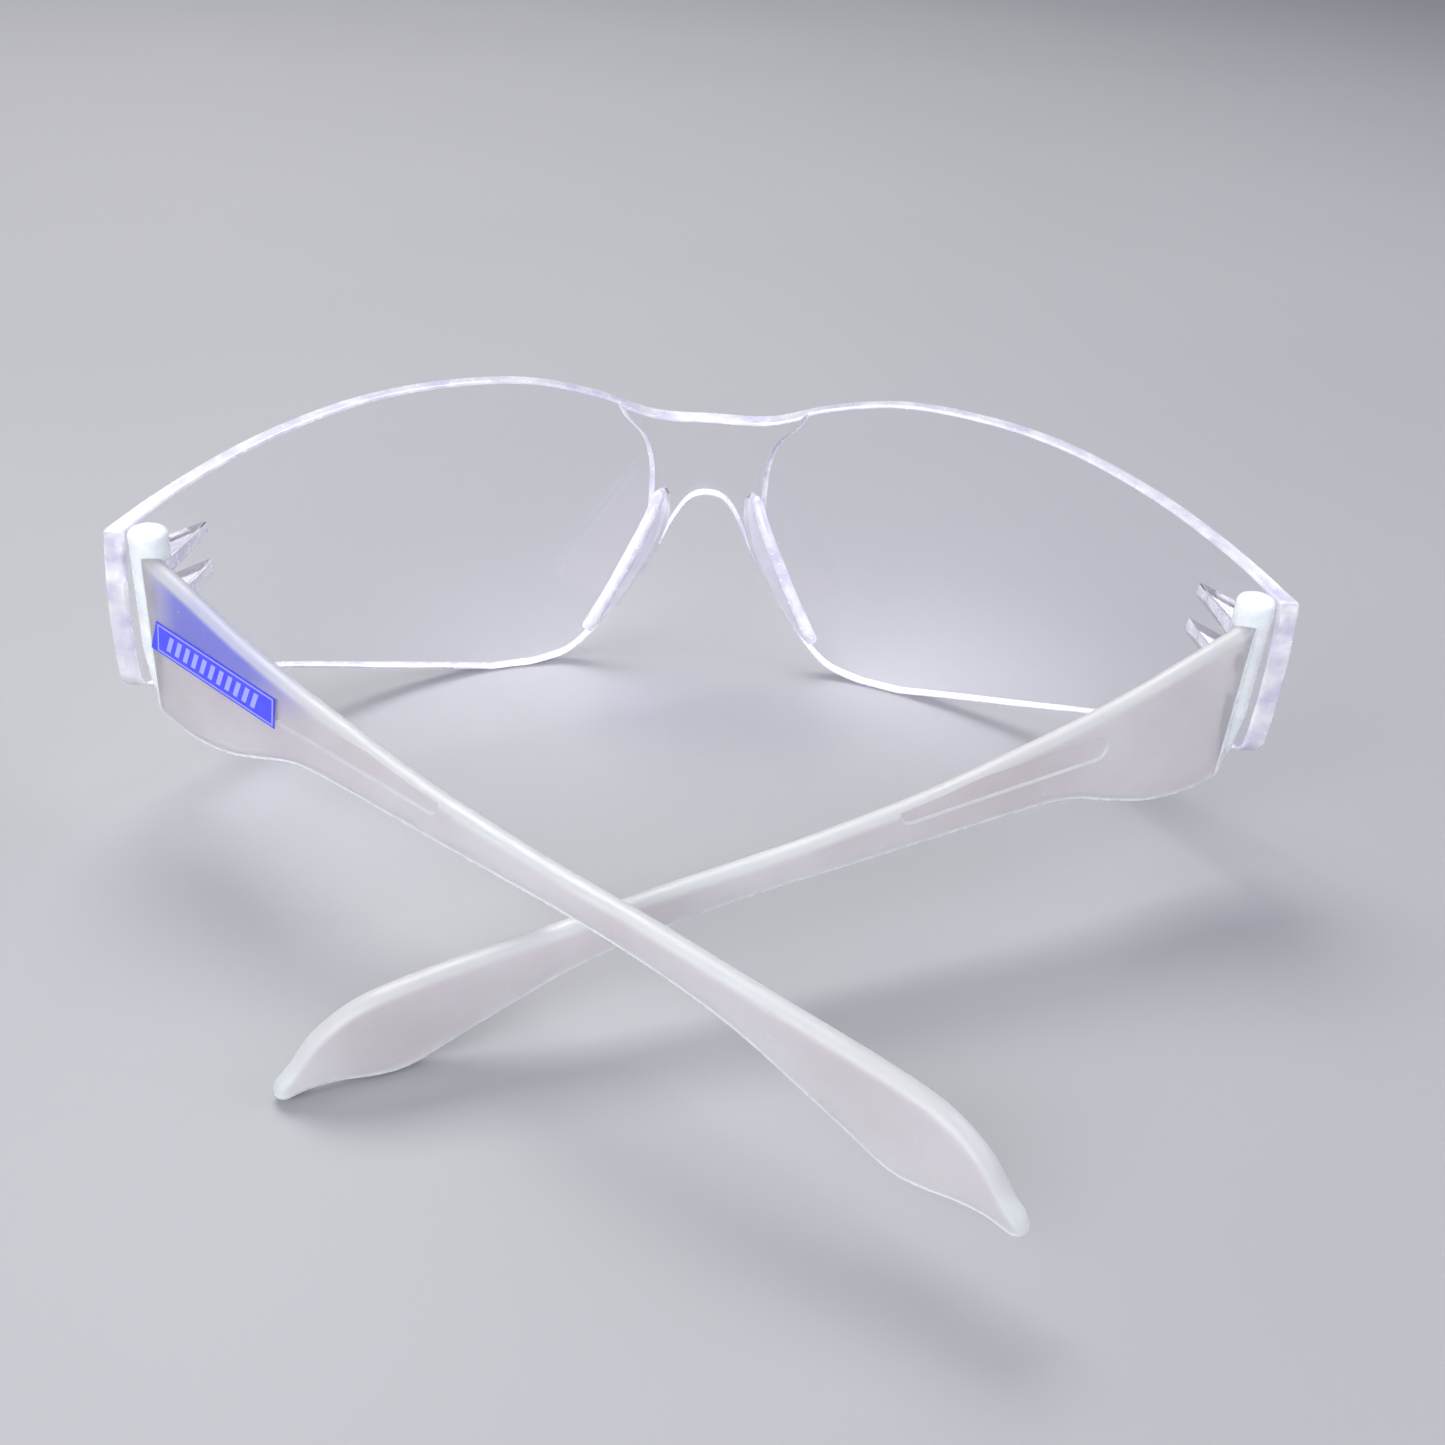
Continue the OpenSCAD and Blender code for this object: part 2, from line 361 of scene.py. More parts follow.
def lens_columns():
    """Columns from end to end, closer at the nose, at the bridge pad's edge and round the outer corners."""
    half = spaced(0, PAD_COLUMN - 0.6, 0.75) + [PAD_COLUMN + by for by in (-0.35, -0.18, 0, 0.18, 0.35, 0.6)]
    half += spaced(PAD_COLUMN + 1.2, 26, 0.8) + spaced(27.2, END_S - LOW_CORNER_R, 1.5)
    half += [END_S - LOW_CORNER_R * (1 - math.sin(math.radians(a))) for a in (15, 30, 45, 60, 75, 90)]
    return [-c for c in reversed(half[1:])] + half


def lens_shell(materials):
    """The bowed one-piece lens with a rounded edge all round and a thicker pad at the bridge."""
    columns = lens_columns()
    rows = 30
    ends = []
    for c in columns:
        pair = []
        for read, inwards, z in ((low_z, 1, 20.0), (top_z, -1, 38.0)):
            for _ in range(6):
                z = edge_height(column_at(c, z), read, inwards)
            pair.append(Vector((column_at(c, z), z)))
        ends.append(pair)
    left = [ends[0][0].lerp(ends[0][1], k / rows) for k in range(rows + 1)]
    right = [ends[-1][0].lerp(ends[-1][1], k / rows) for k in range(rows + 1)]
    outline = [e[0] for e in ends] + right[1:]
    outline += [e[1] for e in reversed(ends)][1:] + list(reversed(left))[1:-1]
    count = len(outline)

    def inset(k, by):
        """Point k of the outline, moved inwards."""
        along = (outline[(k + 1) % count] - outline[k - 1]).normalized()
        return outline[k] + Vector((-along.y, along.x)) * by

    points, faces, face_materials = [], [], []

    def grid(by, depth_at, painted_glow_step=False):
        """One face of the lens. Returns its edge, as a ring of point numbers."""
        loop = [inset(k, by) for k in range(count)]
        n = len(columns) - 1
        index = [[0] * (rows + 1) for _ in columns]
        for i, c in enumerate(columns):
            low = loop[i]
            high = loop[n + rows + n - i]
            for j in range(rows + 1):
                t = j / rows
                z = low.y + (high.y - low.y) * t
                bend = column_at(c, z) - column_at(c, low.y) * (1 - t) - column_at(c, high.y) * t
                s = low.x + (high.x - low.x) * t + bend
                index[i][j] = len(points)
                points.append(on_lens(s, z, depth_at(s, z)))
        for a, b, c, d in zip(index, index[1:], columns, columns[1:]):
            # Faces along the bridge pad's step, above the pad's fade, take the painted glow: a painted
            # highlight strip.
            on_step = painted_glow_step and abs(abs(c + d) / 2 - PAD_COLUMN) < 0.3
            for j in range(rows):
                faces.append((a[j], b[j], b[j + 1], a[j + 1]))
                face_materials.append(PAINTED_GLOW if on_step and points[a[j]].z > PAD_FADE[1] else CLEAR)
        edge = [index[i][0] for i in range(n)] + [index[n][j] for j in range(rows)]
        edge += [index[i][rows] for i in range(n, 0, -1)] + [index[0][j] for j in range(rows, 0, -1)]
        return edge

    def ring(by, depth_at):
        """One ring of points round the rounded edge."""
        start = len(points)
        for k in range(count):
            p = inset(k, by)
            points.append(on_lens(p.x, p.y, depth_at(p.x, p.y)))
        return list(range(start, start + count))

    steps = 5
    rings = [grid(EDGE_R, lambda s, z: 0.0)]
    for k in range(1, steps + 1):
        a = math.pi / 2 * k / steps
        rings.append(ring(EDGE_R * (1 - math.sin(a)), lambda s, z, a=a: EDGE_R * (1 - math.cos(a))))
    for k in range(steps):
        a = math.pi / 2 * k / steps
        behind = EDGE_R * (1 - math.sin(a))
        rings.append(ring(EDGE_R * (1 - math.cos(a)), lambda s, z, behind=behind: wall(s, z) - behind))
    rings.append(grid(EDGE_R, wall, painted_glow_step=True))
    # The rounded edge all round takes the painted glow.
    sides = bridged(rings)
    return make_piece("lens_moulding", points, faces + sides, materials, face_materials + [PAINTED_GLOW] * len(sides))


def nose_flange(side, materials):
    """A curved plate that stands out behind the edge of the nose arch and flares away from the nose."""
    half = FLANGE_T / 2
    last = len(FLANGE_ROOT) - 1
    stations = [(0.0, a) for a in (8, 30, 50, 70)]
    stations += [(t, 90) for t in spaced(0.16, last - 0.16, 0.16)]
    stations += [(float(last), a) for a in (70, 50, 30, 8)]
    front = CENTRE_Y + LENS_R

    def section(t):
        root = spline(FLANGE_ROOT, t)
        free = spline(FLANGE_FREE, t)
        start = on_lens(root.x, root.y, LENS_T * 0.45)
        return start, Vector((free.x, front - free.y, free.z))

    rings = []
    for t, angle in stations:
        share = math.sin(math.radians(angle))
        start, end = section(t)
        step = 0.05
        before, after = section(max(t - step, 0)), section(min(t + step, last))
        travel = ((after[0] + after[1]) - (before[0] + before[1])).normalized()
        reach = (end - start).normalized()
        across = reach.cross(travel).normalized()
        shift = travel * half * (share if t == 0 else -share if t == last else 0)
        if t in (0, last):
            shift -= travel * half * (1 if t == 0 else -1)
        h = half * share
        tip = end - reach * half * (1.6 - 0.6 * share if share < 1 else 1)
        ring = [start + across * h]
        ring += [start.lerp(tip, k / 6) + across * h for k in range(1, 6)]
        for k in range(9):
            a = math.pi * k / 8
            ring.append(tip + across * h * math.cos(a) + reach * h * math.sin(a))
        ring += [start.lerp(tip, k / 6) - across * h for k in range(5, 0, -1)]
        ring.append(start - across * h)
        rings.append([(side * (p + shift).x, (p + shift).y, (p + shift).z) for p in ring])
    size = len(rings[0])
    # The flange's free edge takes the painted glow material; the other faces turn milky below.
    rim = [6 <= k < 14 for k in range(size)]
    flange = loft("flange_tool", rings, materials, rim)
    for face in flange.data.polygons:
        if face.material_index == CLEAR:
            face.material_index = MILKY
    return flange


def hinge_lug(side, top, materials):
    """A fin on the inside of the lens with a round ear for the hinge pin."""
    r = LENS_R - LUG_ROOT

    def lens_y(x):
        return CENTRE_Y - HINGE.y + math.sqrt(r**2 - (HINGE.x + x) ** 2)

    outline = arc((0, 0), EAR_R, 180, 360, 14)
    outline += [(x, lens_y(x)) for x in spaced(EAR_R, LUG_TIP[0] - 0.5, -1.0)]
    outline.append(LUG_TIP)
    placed = [(side * (x + HINGE.x), y + HINGE.y) for x, y in outline]
    under = [(x, y, top - LUG_T) for x, y in placed[:-1]] + [(*placed[-1], top - LUG_TIP_T)]
    rings = [under, [(x, y, top) for x, y in placed]]
    # The lug's sides all take the painted glow material; its top and underside turn milky below.
    lug = loft("lug_tool", rings, materials, [True] * len(placed))
    for face in list(lug.data.polygons)[-2:]:
        face.material_index = MILKY
    b = bmesh.new()
    b.from_mesh(lug.data)
    bmesh.ops.bevel(b, geom=b.edges[:], offset=LUG_EDGE * MM, segments=2, affect="EDGES", clamp_overlap=True)
    b.to_mesh(lug.data)
    b.free()
    outward(lug.data)
    return lug


def lens(materials):
    """The whole moulding: the shell with its nose flanges and hinge lugs."""
    moulding = lens_shell(materials)
    tools = [nose_flange(side, materials) for side in (-1, 1)]
    tools += [hinge_lug(side, top, materials) for side in (-1, 1) for top in LUG_TOPS]
    combined(moulding, tools, "UNION")
    return softened(moulding, 40)


# ---------------------------------------------------------------- the arms

arm_top_z = reader(ARM_TOP)
arm_low_z = reader(ARM_LOW)

# An arm's second material is painted light: an opaque copy of the frosted plastic.
ARM_PAINTED_GLOW = 1               # an arm's second material


def hung(droop):
    """The blade hangs from the top of its barrel."""
    return (Matrix.Translation((0, 0, KNOB_TOP)) @ Matrix.Rotation(droop, 4, "X")
            @ Matrix.Rotation(-ARM_LEAN, 4, "Y") @ Matrix.Translation((0, 0, -KNOB_TOP)))


def arm_place(side, fold):
    """From the frame of a hinge to the glasses, for the right side or mirrored for the left."""
    return Matrix.Scale(side, 4, (1, 0, 0)) @ Matrix.Translation(HINGE) @ Matrix.Rotation(-fold, 4, "Z")


def blade_section(s, nip):
    """The rounded section of the blade at a distance s behind the pin, as (outward, height) points, shrunk by
    nip."""
    left = min((ARM_END - s) / TIP_ROUND, 1)
    grown = TIP_SHARE + (1 - TIP_SHARE) * math.sqrt(max(1 - (1 - left) ** 2, 0))
    inner, outer = ARM_T * (1 - grown) / 2 + nip, ARM_T * (1 + grown) / 2 - nip
    middle = (arm_low_z(s) + arm_top_z(s)) / 2
    half = (arm_top_z(s) - arm_low_z(s)) / 2 * grown
    low, high = middle - half + nip, middle + half - nip
    limit = min((high - low) / 2, (outer - inner) / 2) * 0.96
    top_r, low_r = min(TOP_ROUND - nip, limit), min(LOW_ROUND - nip, limit)
    rows = 8
    flat = [(outer, low + low_r + (high - top_r - low - low_r) * k / rows) for k in range(rows)]
    section = flat + arc((outer - top_r, high - top_r), top_r, 0, 90, 6)
    section += arc((inner + top_r, high - top_r), top_r, 90, 180, 6)
    section += [(inner, z) for _, z in reversed(flat[1:])]
    section += arc((inner + low_r, low + low_r), low_r, 180, 270, 4)
    return section + arc((outer - low_r, low + low_r), low_r, 270, 360, 4)[:-1]


def front_of_blade(x, z, droop):
    """How far behind the pin the slanted front end lies, at x outside the pin and height z on the blade."""
    out = x + (KNOB_TOP - z) * math.sin(ARM_LEAN)
    y = SWING_R - (SWING_R + RIDGE_BACK) / ARM_T * max(out, 0)
    if abs(out) < SWING_R:
        y = min(y, math.sqrt(SWING_R**2 - out**2))
    return ((KNOB_TOP - z) * math.sin(droop) - y) / math.cos(droop)


def blade_ring(s, droop):
    """The section at a distance s behind the pin, in the frame of the hinge."""
    return [hung(droop) @ Vector((x, -s, z)) for x, z in blade_section(s, 0)]


def front_ring(share, nip, back, droop):
    """A section at a share of the way from the slanted front end to the first upright one, nipped in and set
    back to round the rim."""
    ring = []
    for k in range(len(blade_section(0, nip))):
        s = 0.0
        for _ in range(4):
            x, z = blade_section(s, nip)[k]
            start = front_of_blade(x, z, droop) + back
            s = start + (FRONT_LENGTH - start) * share
        ring.append(hung(droop) @ Vector((x, -s, z)))
    return ring


def barrel(materials):
    """The knob that holds the pin, with a softly domed top."""
    profile = [(FOOT_R - FOOT_ROUND, FOOT_LOW), (FOOT_R, FOOT_LOW + FOOT_ROUND), (BARREL_R, BARREL_LOW)]
    profile += arc((BARREL_R - KNOB_ROUND, KNOB_TOP - KNOB_DOME - KNOB_ROUND), KNOB_ROUND, 0, 84, 6)
    profile += [(BARREL_R * 0.4, KNOB_TOP - KNOB_DOME / 6)]
    steps = 64
    rings = []
    for r, z in profile:
        rings.append([(BARREL_OUT + r * math.cos(a), r * math.sin(a), z)
                      for a in (2 * math.pi * k / steps for k in range(steps))])
    return loft("barrel_tool", rings, materials)


def temple(name, side, fold, droop, materials):
    """One arm: a blade with rounded edges, its barrel, the lug slots, the bore and the recessed panel."""
    rim_angles = (0, 30, 60, 90)
    rings = []
    for a in rim_angles:
        sine, cosine = math.sin(math.radians(a)), math.cos(math.radians(a))
        rings.append(front_ring(0, FRONT_ROUND * (1 - sine), FRONT_ROUND * (1 - cosine), droop))
    rings += [front_ring(share, 0, FRONT_ROUND, droop) for share in (0.08, 0.2, 0.35, 0.5, 0.65, 0.8, 0.92)]
    stations = spaced(FRONT_LENGTH, 20, 0.7) + spaced(21, 108, 1.5) + spaced(109, ARM_END - TIP_ROUND, 0.6)
    stations += [ARM_END - TIP_ROUND * (1 - math.sin(math.radians(a))) for a in (15, 30, 45, 60, 75, 84)]
    rings += [blade_ring(s, droop) for s in stations]
    section = blade_section(FRONT_LENGTH, 0)
    # The lower edge's rounding takes the painted light material, where the edge faces down into shade.
    lower_edge = [z < arm_low_z(FRONT_LENGTH) + LOW_ROUND * 0.8 for _, z in section]
    blade = loft(name, rings, materials, lower_edge)
    ring = len(rings[0])
    # The rounded front rim and the front end take the painted light material.
    front_end = blade.data.polygons[ring * (len(rings) - 1)]
    rim = list(blade.data.polygons)[:ring * (len(rim_angles) - 1)]
    for face in [*rim, front_end]:
        face.material_index = ARM_PAINTED_GLOW
    combined(blade, [recess_tool(droop)], "DIFFERENCE")
    knob = barrel(materials)
    # The barrel takes the painted light material all over.
    for face in knob.data.polygons:
        face.material_index = ARM_PAINTED_GLOW
    combined(blade, [knob], "UNION")
    combined(blade, [slot_tool(top) for top in LUG_TOPS] + [bore_tool()], "DIFFERENCE")
    blade.data.transform(Matrix.Scale(MM, 4) @ arm_place(side, fold) @ Matrix.Scale(1 / MM, 4))
    outward(blade.data)
    return softened(blade)


def slot_tool(top):
    """Room for a lug, open to the inside and the front."""
    outline = [(-CUT, -LUG_REACH), (SKIN_IN, -LUG_REACH), (SKIN_IN, CUT), (-CUT, CUT)]
    return prism("slot_tool", outline, top - LUG_T - LUG_GAP, top + LUG_GAP)


def bore_tool():
    """The bore that the pin is pressed into, open below."""
    steps = 64
    circle = arc((0, 0), PIN_R + BORE_GAP, 0, 360, steps)[:-1]
    return prism("bore_tool", circle, FOOT_LOW - 1, KNOB_TOP - BORE_ROOF)


def recess_tool(droop):
    """A slot with round ends and slanted sides, sunk into the blade's outer face."""
    r = RECESS_H / 2
    length = RECESS[1] - RECESS[0] - RECESS_H
    tilt = math.atan2(RECESS_Z[1] - RECESS_Z[0], length)
    outline = [(0, p) for p in arc((0, 0), 1, 90, 270, 20)]
    outline += [(length, p) for p in arc((0, 0), 1, -90, 90, 20)]
    rings = []
    for depth, grow in ((-1.0, 1.0), (-0.02, 0.12), (0.06, 0.03), (RECESS_DEEP, -0.16)):
        ring = []
        for run, (x, z) in outline:
            along, up = run + x * (r + grow), z * (r + grow)
            s = RECESS[0] + r + along * math.cos(tilt) - up * math.sin(tilt)
            height = RECESS_Z[0] + along * math.sin(tilt) + up * math.cos(tilt)
            ring.append(hung(droop) @ Vector((ARM_T - depth, -s, height)))
        rings.append(ring)
    return loft("recess_tool", rings, [])


def print_band(materials):
    """The printed band on the left arm, as a thin film with its own flat coordinates."""
    columns, rows = 44, 10
    place = arm_place(-1, LEFT_FOLD) @ hung(0)
    points, flat = [], []
    for lift in (0.0, PRINT_T):
        for i in range(columns + 1):
            for j in range(rows + 1):
                up = (j / rows - 0.5) * PRINT_H
                start = -PRINT_SLANT * (0.5 - up / PRINT_H)
                along = start + (PRINT_LEN - start) * i / columns
                s = PRINT_START + along * math.cos(PRINT_TILT) + up * math.sin(PRINT_TILT)
                z = PRINT_Z - along * math.sin(PRINT_TILT) + up * math.cos(PRINT_TILT)
                points.append(place @ Vector((ARM_T + lift, -s, z)))
                flat.append((along, up))
    per_layer = (columns + 1) * (rows + 1)
    faces = []
    for first in (0, per_layer):
        for i in range(columns):
            for j in range(rows):
                a = first + i * (rows + 1) + j
                faces.append((a, a + rows + 1, a + rows + 2, a + 1))
    edge = [i * (rows + 1) for i in range(columns)] + [columns * (rows + 1) + j for j in range(rows)]
    edge += [i * (rows + 1) + rows for i in range(columns, 0, -1)] + [j for j in range(rows, 0, -1)]
    faces += bridged([edge, [k + per_layer for k in edge]])
    band = make_piece("print_band", points, faces, materials)
    flat_map = band.data.uv_layers.new(name="flat")
    for loop in band.data.loops:
        along, up = flat[loop.vertex_index]
        flat_map.data[loop.index].uv = (along / PRINT_LEN, up / PRINT_H + 0.5)
    return softened(band)


# ---------------------------------------------------------------- materials

def new_material(name):
    """A material with an empty node tree, its node maker and its Principled shader joined to the output."""
    material = bpy.data.materials.new(name)
    material.use_nodes = True
    tree = material.node_tree
    tree.nodes.clear()

    def node(kind, **settings):
        made = tree.nodes.new(kind)
        for key, value in settings.items():
            setattr(made, key, value)
        return made

    shader = node("ShaderNodeBsdfPrincipled")
    output = node("ShaderNodeOutputMaterial")
    tree.links.new(shader.outputs[0], output.inputs["Surface"])
    return material, node, tree.links.new, shader, output


def sized_noise(node, link, size, detail, stretch=(1, 1, 1)):
    """Noise whose grains are about size millimetres across."""
    place = node("ShaderNodeTexCoord")
    mapping = node("ShaderNodeMapping")
    mapping.inputs["Scale"].default_value = stretch
    noise = node("ShaderNodeTexNoise")
    noise.inputs["Scale"].default_value = 1 / (size * MM)
    noise.inputs["Detail"].default_value = detail
    link(place.outputs["Object"], mapping.inputs["Vector"])
    link(mapping.outputs[0], noise.inputs["Vector"])
    return noise.outputs["Fac"]


def ranged(node, link, value, from_low, from_high, low, high):
    """value, which runs from from_low to from_high, turned to run from low to high."""
    change = node("ShaderNodeMapRange")
    for socket, number in zip(("From Min", "From Max", "To Min", "To Max"), (from_low, from_high, low, high)):
        change.inputs[socket].default_value = number
    link(value, change.inputs["Value"])
    return change.outputs[0]


def calculated(node, link, operation, a, b=0):
    """The result of one sum on two values, each a number or a socket."""
    made = node("ShaderNodeMath", operation=operation)
    for socket, value in zip(made.inputs, (a, b)):
        if isinstance(value, (int, float)):
            socket.default_value = value
        else:
            link(value, socket)
    return made.outputs[0]


def mixed(node, link, share, first, second):
    """Two colours mixed by share. Each is four numbers or a socket."""
    mix = node("ShaderNodeMix", data_type="RGBA")
    link(share, mix.inputs["Factor"])
    for socket, colour in ((mix.inputs[6], first), (mix.inputs[7], second)):
        if isinstance(colour, tuple):
            socket.default_value = colour
        else:
            link(colour, socket)
    return mix.outputs[2]


def bumped(node, link, shader, height, distance, strength):
    """Raises the surface by up to a distance in millimetres where height is 1."""
    bump = node("ShaderNodeBump")
    bump.inputs["Strength"].default_value = strength
    bump.inputs["Distance"].default_value = distance * MM
    link(height, bump.inputs["Height"])
    link(bump.outputs[0], shader.inputs["Normal"])


def lets_lamps_through(node, link, shader, output, colour):
    """Lamps shine through the material, dimmed to a colour, so that it casts only a faint shadow."""
    path = node("ShaderNodeLightPath")
    open_side = node("ShaderNodeBsdfTransparent")
    open_side.inputs["Color"].default_value = colour
    mix = node("ShaderNodeMixShader")
    link(path.outputs["Is Shadow Ray"], mix.inputs[0])
    link(shader.outputs[0], mix.inputs[1])
    link(open_side.outputs[0], mix.inputs[2])
    link(mix.outputs[0], output.inputs["Surface"])


def clear_material():
    """Polished polycarbonate with hair scratches, dust and a faint coloured film."""
    material, node, link, shader, output = new_material("clear_polycarbonate")
    shader.inputs["Base Color"].default_value = (0.975, 0.972, 0.995, 1)
    shader.inputs["Transmission Weight"].default_value = 1.0
    shader.inputs["IOR"].default_value = 1.58
    shader.inputs["Thin Film Thickness"].default_value = 260
    shader.inputs["Thin Film IOR"].default_value = 1.45
    smears = sized_noise(node, link, 9, 3)
    link(ranged(node, link, smears, 0.35, 0.75, 0.0, 0.035), shader.inputs["Roughness"])
    scratches = sized_noise(node, link, 0.5, 1, (0.05, 1, 1))
    bumped(node, link, shader, ranged(node, link, scratches, 0.62, 0.75, 0, 1), 0.002, 0.5)
    lets_lamps_through(node, link, shader, output, (0.94, 0.94, 0.97, 1))
    return material


def painted_glow_edge_material():
    """The moulded edge, painted a milky violet white with streaks: painted light that stands in for the light
    the clear edge gathers.
    """
    material, node, link, shader, output = new_material("lens_edge_painted_glow")
    streaks = sized_noise(node, link, 3.0, 3)
    colour = mixed(node, link, ranged(node, link, streaks, 0.35, 0.65, 0, 1),
                   (0.72, 0.69, 0.88, 1), (0.97, 0.98, 1.0, 1))
    link(colour, shader.inputs["Base Color"])
    shader.inputs["Transmission Weight"].default_value = 0.25
    shader.inputs["IOR"].default_value = 1.58
    shader.inputs["Coat Weight"].default_value = 0.6
    shader.inputs["Coat Roughness"].default_value = 0.06
    link(ranged(node, link, sized_noise(node, link, 0.8, 2), 0.3, 0.7, 0.12, 0.3), shader.inputs["Roughness"])
    bumped(node, link, shader, sized_noise(node, link, 1.6, 2), 0.01, 0.3)
    return material


def milky_material():
    """The thick lugs and nose flanges, which scatter a little light."""
    material, node, link, shader, output = new_material("milky_moulding")
    colour = mixed(node, link, ranged(node, link, sized_noise(node, link, 2.0, 3), 0.35, 0.65, 0, 1),
                   (0.86, 0.84, 0.97, 1), (0.97, 0.97, 1.0, 1))
    link(colour, shader.inputs["Base Color"])
    shader.inputs["Transmission Weight"].default_value = 0.72
    shader.inputs["IOR"].default_value = 1.3
    link(ranged(node, link, sized_noise(node, link, 0.9, 2), 0.3, 0.7, 0.1, 0.22), shader.inputs["Roughness"])
    bumped(node, link, shader, sized_noise(node, link, 3, 2), 0.01, 0.2)
    lets_lamps_through(node, link, shader, output, (0.90, 0.90, 0.95, 1))
    return material


def frosted_material(name, outward_direction, halo_fold=None):
    """Milky plastic in its own greyer tone, with a painted highlight: the rounded edges, where the surface
    turns away from the outward direction, are painted near white. The left arm also has a painted blue glow
    round its print."""
    material, node, link, shader, output = new_material(name)
    place = node("ShaderNodeTexCoord")
    facing = node("ShaderNodeVectorMath", operation="DOT_PRODUCT")
    link(place.outputs["Normal"], facing.inputs[0])
    facing.inputs[1].default_value = outward_direction
    flatness = calculated(node, link, "ABSOLUTE", facing.outputs["Value"])
    # Painted highlight mask: 1 on the rounded edges, 0 on the flat faces.
    rim = ranged(node, link, flatness, 0.80, 0.985, 1, 0)
    cloud = sized_noise(node, link, 14, 3)
    core = mixed(node, link, ranged(node, link, cloud, 0.35, 0.65, 0, 1),
                 (0.80, 0.74, 0.755, 1), (0.88, 0.85, 0.87, 1))
    # The left arm gets a painted blue glow round its print.
    if halo_fold is not None:
        core = mixed(node, link, painted_halo_share(node, link, place, halo_fold), core, (0.23, 0.26, 0.98, 1))
    dust = ranged(node, link, sized_noise(node, link, 0.55, 1), 0.74, 0.78, 0, 1)
    core = mixed(node, link, dust, core, (0.95, 0.95, 0.95, 1))
    # The rounded edges are painted near white over the plastic's own tone and dust.
    link(mixed(node, link, rim, core, (0.96, 0.99, 1.0, 1)), shader.inputs["Base Color"])
    satin = ranged(node, link, sized_noise(node, link, 2.5, 3), 0.3, 0.7, 0.34, 0.44)
    link(satin, shader.inputs["Roughness"])
    shader.inputs["IOR"].default_value = 1.5
    shader.inputs["Transmission Weight"].default_value = 0.62
    shader.inputs["Subsurface Weight"].default_value = 0.5
    shader.inputs["Subsurface Radius"].default_value = (1.0, 0.95, 1.1)
    shader.inputs["Subsurface Scale"].default_value = 2 * MM
    bumped(node, link, shader, sized_noise(node, link, 0.3, 2), 0.006, 0.3)
    return material


def painted_glow_frosted_material():
    """The same milky plastic as an opaque copy that is painted light, standing in for the light it is full of:
    on the barrels, the arms' front ends and their lower edges."""
    material, node, link, shader, output = new_material("frosted_painted_glow")
    colour = mixed(node, link, ranged(node, link, sized_noise(node, link, 2.5, 3), 0.35, 0.65, 0, 1),
                   (0.74, 0.78, 0.81, 1), (0.86, 0.89, 0.92, 1))
    link(colour, shader.inputs["Base Color"])
    link(ranged(node, link, sized_noise(node, link, 1.5, 3), 0.3, 0.7, 0.2, 0.34), shader.inputs["Roughness"])
    shader.inputs["IOR"].default_value = 1.5
    shader.inputs["Subsurface Weight"].default_value = 0.7
    shader.inputs["Subsurface Radius"].default_value = (1.0, 1.0, 1.1)
    shader.inputs["Subsurface Scale"].default_value = 1.5 * MM
    bumped(node, link, shader, sized_noise(node, link, 0.5, 2), 0.02, 0.5)
    return material


def painted_halo_share(node, link, place, fold):
    """1 over the strip between the print and the blade's top edge, fading out all round: the mask of the
    painted blue glow.
    """
    local = node("ShaderNodeMapping", vector_type="TEXTURE")
    local.inputs["Location"].default_value = (-HINGE.x * MM, HINGE.y * MM, 0)
    local.inputs["Rotation"].default_value = (0, 0, fold)
    link(place.outputs["Object"], local.inputs["Vector"])
    axes = node("ShaderNodeSeparateXYZ")
    link(local.outputs[0], axes.inputs[0])
    starts = ranged(node, link, axes.outputs["Y"], -HALO_IN[0] * MM, -HALO_IN[1] * MM, 0, 1)
    ends = ranged(node, link, axes.outputs["Y"], -HALO_OUT[0] * MM, -HALO_OUT[1] * MM, 1, 0)
    above = ranged(node, link, axes.outputs["Z"], HALO_UP[0] * MM, HALO_UP[1] * MM, 0, 1)
    share = calculated(node, link, "MULTIPLY", starts, ends)
    share = calculated(node, link, "MULTIPLY", share, above)
    return calculated(node, link, "MULTIPLY", share, HALO_SHARE)


def print_material():
    """Blue ink with a thin pale outline and a row of plain slanted bars."""
    material, node, link, shader, output = new_material("blue_ink")
    place = node("ShaderNodeUVMap", uv_map="flat")
    axes = node("ShaderNodeSeparateXYZ")
    link(place.outputs[0], axes.inputs[0])
    ink = mixed(node, link, ranged(node, link, sized_noise(node, link, 1.5, 3), 0.3, 0.7, 0, 1),
                (0.055, 0.065, 0.84, 1), (0.075, 0.085, 0.93, 1))
    pale = (0.36, 0.38, 0.95, 1)
    with_line = mixed(node, link, outline_share(node, link, axes), ink, pale)
    colour = mixed(node, link, bar_share(node, link, axes), with_line, pale)
    link(colour, shader.inputs["Base Color"])
    link(ranged(node, link, sized_noise(node, link, 0.4, 2), 0.3, 0.7, 0.3, 0.42), shader.inputs["Roughness"])
    bumped(node, link, shader, sized_noise(node, link, 0.15, 2), 0.008, 0.4)
    return material


def distance_from(node, link, middle, value):
    """How far value is from middle, either way."""
    return calculated(node, link, "ABSOLUTE", calculated(node, link, "SUBTRACT", value, middle))


def outline_share(node, link, axes):
    """1 on a thin line that runs round the print just inside its edge."""
    out_x = distance_from(node, link, 0.5, axes.outputs["X"])
    out_y = distance_from(node, link, 0.5, axes.outputs["Y"])
    shares = []
    for inset in PRINT_LINE:
        along = calculated(node, link, "DIVIDE", out_x, 0.5 - inset / PRINT_LEN)
        up = calculated(node, link, "DIVIDE", out_y, 0.5 - inset / PRINT_H)
        shares.append(calculated(node, link, "LESS_THAN", calculated(node, link, "MAXIMUM", along, up), 1))
    return calculated(node, link, "SUBTRACT", *shares)


